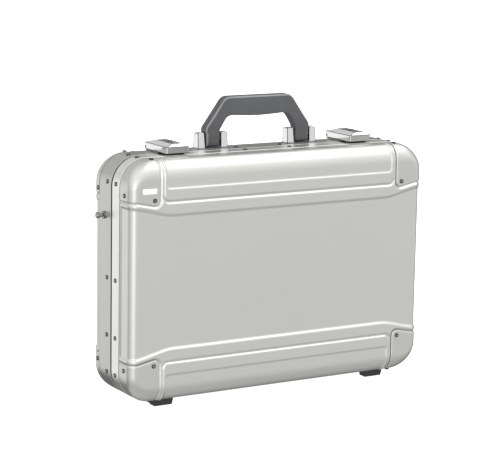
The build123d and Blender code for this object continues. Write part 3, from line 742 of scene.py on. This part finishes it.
def make_grip():
    """The bail: a rounded section that runs up one leg, along the bar and down the other."""
    low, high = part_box("handle_grip")
    foot, top = low.z / MM, high.z / MM
    pivot = foot + PIVOT_ABOVE_FOOT
    leg_out, leg_in = high.x / MM, high.x / MM - LEG_WIDTH
    centre_y = (low.y + high.y) / 2 / MM
    half_y = (high.y - low.y) / 2 / MM
    shoulder = top - SHOULDER_BELOW_TOP
    wide = leg_out + LEG_SWELL
    outer = rounded_line(
        [
            (leg_out, foot),
            (leg_out, pivot + SWELL_START),
            (wide, pivot + SWELL_END),
            (wide, shoulder),
            (BAR_OUTER_X, top),
            (0, top),
        ],
        OUTER_BENDS,
        BEND_POINTS,
    )
    inner = rounded_line(
        [
            (leg_in, foot),
            (leg_in, pivot + SWELL_START),
            (leg_in, pivot + SWELL_END),
            (leg_in - INNER_SHOULDER_X, shoulder - INNER_SHOULDER_Z),
            (BAR_INNER_X, top - BAR_DEPTH_END),
            (0, top - BAR_DEPTH_MIDDLE),
        ],
        INNER_BENDS,
        BEND_POINTS,
    )
    across = np.clip(np.abs(inner[:, 0]) / BELLY_HALF, 0, 1)
    in_bar = inner[:, 1] > shoulder + BELLY_ABOVE_SHOULDER
    inner[:, 1] -= np.where(in_bar, BELLY_DEPTH * (1 - across**2), 0)
    outer = np.concatenate([outer, outer[-2::-1] * (-1, 1)])
    inner = np.concatenate([inner, inner[-2::-1] * (-1, 1)])
    points, faces = [], []
    for o, i in zip(outer, inner):
        middle, half = (o + i) / 2, (o - i) / 2
        reach = np.linalg.norm(half)
        for u, v in chamfered_section(reach, half_y, GRIP_CHAMFER):
            place = middle + half / reach * u
            under = max(0.0, pivot - place[1])
            room = min(1.0, math.sqrt(max(0.0, FOOT_R**2 - under**2)) / half_y)
            points.append((place[0], centre_y + v * room, place[1]))
    around = len(points) // len(outer)
    ring_count = len(outer) - 1
    for ring in range(ring_count):
        for k in range(around):
            a, b = ring * around + k, ring * around + (k + 1) % around
            faces.append((a, b, b + around, a + around))
    faces.append(tuple(range(around - 1, -1, -1)))
    last = ring_count * around
    faces.append(tuple(range(last, last + around)))
    piece = new_piece(
        "handle_bail", points, faces, "grey_plastic", "handle", ["handle_grip"]
    )
    # The outer chamfers take the lighter plastic, a painted highlight.
    piece.data.materials.append(materials["painted_highlight_plastic"])
    for face in piece.data.polygons[: ring_count * around]:
        if face.index % around in OUTER_EDGE_STRIPS:
            face.material_index = 1


make_grip()

# ---- Floor, light and camera ----
FLOOR_HALF = 16.0
floor_mesh = bpy.data.meshes.new("floor")
floor_mesh.from_pydata(
    [(x * FLOOR_HALF, y * FLOOR_HALF, 0) for x, y in ((-1, -1), (1, -1), (1, 1), (-1, 1))],
    [],
    [(0, 1, 2, 3)],
)
floor = bpy.data.objects.new("floor", floor_mesh)
bpy.context.scene.collection.objects.link(floor)
floor_material, floor_tree, floor_bsdf = new_material("floor_pale")
floor_noise = stretched_noise(floor_tree, (3.0, 3.0, 3.0))
floor_tone = ramp(
    floor_tree, floor_noise.outputs["Fac"], [(0.0, grey(0.90)), (1.0, grey(0.93))]
)
floor_tree.links.new(floor_tone.outputs["Color"], floor_bsdf.inputs["Base Color"])
floor_bsdf.inputs["Roughness"].default_value = 0.9
floor_bsdf.inputs["Emission Color"].default_value = (1, 1, 1, 1)
floor_bsdf.inputs["Emission Strength"].default_value = 0.85
floor_mesh.materials.append(floor_material)
floor.visible_glossy = False

# The studio is a pale tent by direction: one ramp for its front, one for its back.
world = bpy.data.worlds.new("studio")
bpy.context.scene.world = world
world.use_nodes = True
sky = world.node_tree
background = sky.nodes["Background"]
direction = node(sky, "ShaderNodeTexCoord")
split = node(sky, "ShaderNodeSeparateXYZ", {0: direction.outputs["Generated"]})


def spread_over(axis, start, end, low=0.0, high=1.0):
    """A value that goes smoothly from low to high as the direction's axis does."""
    made = node(sky, "ShaderNodeMapRange", {"Value": split.outputs[axis]})
    made.interpolation_type = "SMOOTHSTEP"
    made.inputs["From Min"].default_value = start
    made.inputs["From Max"].default_value = end
    made.inputs["To Min"].default_value = low
    made.inputs["To Max"].default_value = high
    return made.outputs["Result"]


def scaled(colour, factor):
    """The colour times a value."""
    made = node(sky, "ShaderNodeVectorMath", {0: colour, 1: factor})
    made.operation = "MULTIPLY"
    return made.outputs["Vector"]


height_in_tent = node(sky, "ShaderNodeMapRange", {"Value": split.outputs["Z"]})
height_in_tent.inputs["From Min"].default_value = -1.0


def tent(stops):
    """The tent's tone from straight below, 0, to straight above, 1."""
    toned = [(position, grey(tone)) for position, tone in stops]
    return ramp(sky, height_in_tent.outputs["Result"], toned)


front_tent = tent(
    [(0.0, 0.62), (0.16, 0.44), (0.38, 0.74), (0.5, 0.74), (0.62, 0.88), (0.85, 1.0)]
)
back_tent = tent(
    [(0.0, 0.45), (0.13, 0.28), (0.27, 0.05), (0.42, 0.30), (0.58, 0.34), (1.0, 0.55)]
)
front_side = scaled(front_tent.outputs["Color"], spread_over("X", -1.0, 0.2, 1.12, 1.0))
back_side = scaled(back_tent.outputs["Color"], spread_over("X", -0.7, 0.9, 1.75, 0.45))
around = node(
    sky,
    "ShaderNodeMixRGB",
    {"Fac": spread_over("Y", -0.35, 0.45), "Color1": front_side, "Color2": back_side},
)


def card(colour, towards, inner, outer, tone):
    """The colour with a round reflector or flag over it, in one direction.

    Its tone is full within inner degrees of its middle, and gone beyond outer degrees."""
    facing = node(sky, "ShaderNodeVectorMath", {0: direction.outputs["Generated"]})
    facing.operation = "DOT_PRODUCT"
    facing.inputs[1].default_value = Vector(towards).normalized()
    disc_mask = node(sky, "ShaderNodeMapRange", {"Value": facing.outputs["Value"]})
    disc_mask.interpolation_type = "SMOOTHSTEP"
    disc_mask.inputs["From Min"].default_value = math.cos(math.radians(outer))
    disc_mask.inputs["From Max"].default_value = math.cos(math.radians(inner))
    mixed = node(
        sky, "ShaderNodeMixRGB", {"Fac": disc_mask.outputs["Result"], "Color1": colour}
    )
    mixed.inputs["Color2"].default_value = (tone, tone, tone, 1)
    return mixed.outputs["Color"]


# The case's end faces, seen from the photograph's side, reflect the first card.
studio = card(around.outputs["Color"], (-0.51, 0.84, -0.17), 13, 21, 0.98)
# The chrome's slopes and the rivets' heads pick up a dark flag overhead and a grey card behind.
studio = card(studio, (0.13, -0.07, 0.985), 5, 10, 0.03)
studio = card(studio, (0.20, 0.84, 0.50), 6, 11, 0.66)
# Everything that faces the front reflects a grey card with a darker middle.
studio = card(studio, (0.51, -0.85, -0.17), 7, 12, 0.66)
studio = card(studio, (0.51, -0.85, -0.17), 3, 5, 0.30)
path = node(sky, "ShaderNodeLightPath")
seen = node(
    sky, "ShaderNodeMixRGB", {"Fac": path.outputs["Is Camera Ray"], "Color1": studio}
)
seen.inputs["Color2"].default_value = (1, 1, 1, 1)
sky.links.new(seen.outputs["Color"], background.inputs["Color"])
background.inputs["Strength"].default_value = 1.0


def soft_box(name, place, aim, size, power):
    """An area lamp, in metres and watts, turned towards a point."""
    data = bpy.data.lights.new(name, "AREA")
    data.shape = "RECTANGLE"
    data.size, data.size_y = size
    data.energy = power
    lamp = bpy.data.objects.new(name, data)
    bpy.context.scene.collection.objects.link(lamp)
    lamp.location = place
    away = Vector(aim) - Vector(place)
    lamp.rotation_euler = away.to_track_quat("-Z", "Y").to_euler()


soft_box("key_front_left", (-2.0, -3.0, 0.5), (0, 0, 0.17), (2.2, 2.4), 17)
soft_box("overhead", (1.0, -0.34, 2.1), (0, 0, 0.3), (2.4, 1.8), 13.5)

# The camera: turned right of +Y, tipped down and rolled, at the photograph's viewing angle
AZIMUTH, PITCH, ROLL = math.radians(30.86), math.radians(10.58), math.radians(1.015)
CAMERA_PLACE = (-1.3213, -2.1819, 0.6857)
SENSOR_WIDTH, FOCAL_LENGTH = 36.0, 138.99
ahead = Vector(
    (math.sin(AZIMUTH) * math.cos(PITCH), math.cos(AZIMUTH) * math.cos(PITCH), -math.sin(PITCH))
)
right = Vector((math.cos(AZIMUTH), -math.sin(AZIMUTH), 0))
up = right.cross(ahead)
rolled_right = right * math.cos(ROLL) + up * math.sin(ROLL)
rolled_up = up * math.cos(ROLL) - right * math.sin(ROLL)
lens = bpy.data.cameras.new("camera")
lens.sensor_width = SENSOR_WIDTH
lens.lens = FOCAL_LENGTH
camera = bpy.data.objects.new("camera", lens)
bpy.context.scene.collection.objects.link(camera)
turned = Matrix((rolled_right, rolled_up, -ahead)).transposed().to_4x4()
camera.matrix_world = Matrix.Translation(Vector(CAMERA_PLACE)) @ turned
bpy.context.scene.camera = camera
bpy.context.scene.view_settings.view_transform = "Standard"
